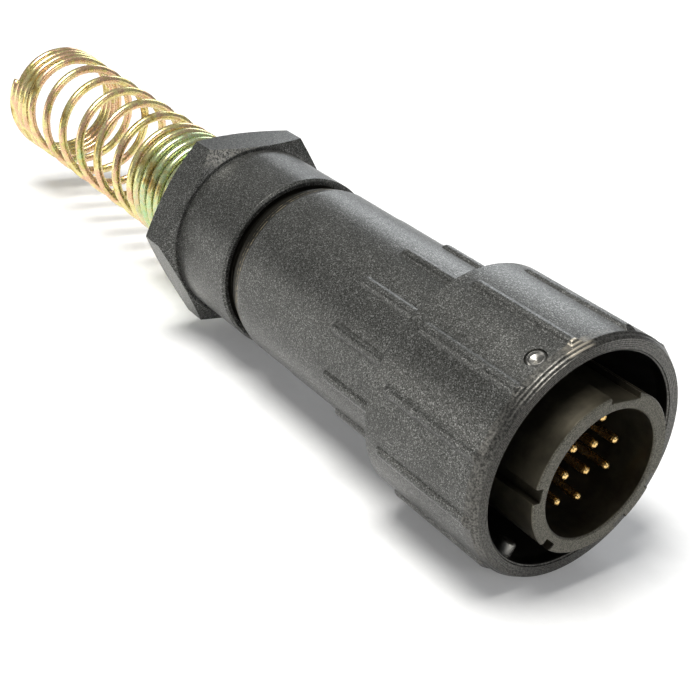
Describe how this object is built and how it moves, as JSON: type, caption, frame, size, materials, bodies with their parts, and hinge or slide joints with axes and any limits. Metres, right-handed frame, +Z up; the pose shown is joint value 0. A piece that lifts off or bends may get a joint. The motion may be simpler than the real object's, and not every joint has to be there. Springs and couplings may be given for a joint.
{
  "type": "push-pull bayonet circular connector plug",
  "caption": "Circular connector plug with ribbed coupling ring, bayonet pins, keyed barrel with pin contacts, backshell, cable gland and wire strain-relief spring.",
  "frame": {"origin": "centre of the coupling ring's open mouth, on the connector's axis", "axes": "+X along the axis towards the mating end, +Z up as the plug lies on its side, one flat of the gland nut facing down"},
  "size_m": [0.1246, 0.0284, 0.0284],
  "materials": {
    "anthracite": "satin dark anthracite coating with fine metallic sparkle",
    "olive_shell": "dark olive plated aluminium, satin, bead-blasted rim",
    "navy_insert": "moulded dark blue dielectric, semi-matt",
    "grommet_rubber": "soft sealing rubber",
    "seal_rubber": "black rubber",
    "contact_gold": "gold plated",
    "brass": "turned brass",
    "stainless": "turned stainless steel",
    "spring_steel": "spring steel strip",
    "bare_metal": "machined aluminium",
    "yellow_chromate": "zinc plated wire with iridescent yellow chromate"
  },
  "bodies": {
    "plug_body": {"plug_shell": "olive_shell", "snap_ring": "spring_steel", "insert_front": "navy_insert", "insert_grommet": "grommet_rubber", "grommet_follower": "bare_metal", "insert_clip": "spring_steel", "shell_seal": "seal_rubber", "backshell": "anthracite", "wave_spring": "spring_steel", "seat_washer": "brass", "gland_seal": "seal_rubber", "contact_1": "contact_gold", "contact_2": "contact_gold", "contact_3": "contact_gold", "contact_4": "contact_gold", "contact_5": "contact_gold", "contact_6": "contact_gold", "contact_7": "contact_gold", "contact_8": "contact_gold", "contact_9": "contact_gold", "contact_10": "contact_gold", "contact_11": "contact_gold", "contact_12": "contact_gold"},
    "thrust_carrier": {"thrust_washer": "spring_steel", "stop_pin": "brass"},
    "ring": {"coupling_ring": "anthracite", "bayonet_pins": "stainless"},
    "slip_carrier": {"slip_washer": "brass"},
    "nut": {"gland_nut": "anthracite", "strain_spring": "yellow_chromate"}
  },
  "joints": [
    {"name": "ring_slide", "type": "slide", "parent": "plug_body", "child": "thrust_carrier", "axis": [1, 0, 0], "range_m": [-0.002, 0], "stiffness_N_per_m": 1500, "springref_m": 0.003, "deforming": ["wave_spring"]},
    {"name": "ring_turn", "type": "hinge", "parent": "thrust_carrier", "child": "ring", "pos_m": [-0.01235, 0, 0], "axis": [1, 0, 0], "range_deg": [-20, 100]},
    {"name": "gland_feed", "type": "slide", "parent": "plug_body", "child": "slip_carrier", "axis": [1, 0, 0], "range_m": [-0.00301, 0.00091], "deforming": ["gland_seal"]},
    {"name": "gland_turn", "type": "hinge", "parent": "slip_carrier", "child": "nut", "pos_m": [-0.0565, 0, 0], "axis": [1, 0, 0], "range_deg": [-1080, 324]}
  ],
  "couplings": [
    {"joint": "gland_feed", "follows": "gland_turn", "m_per_rad": 0.00015915}
  ]
}
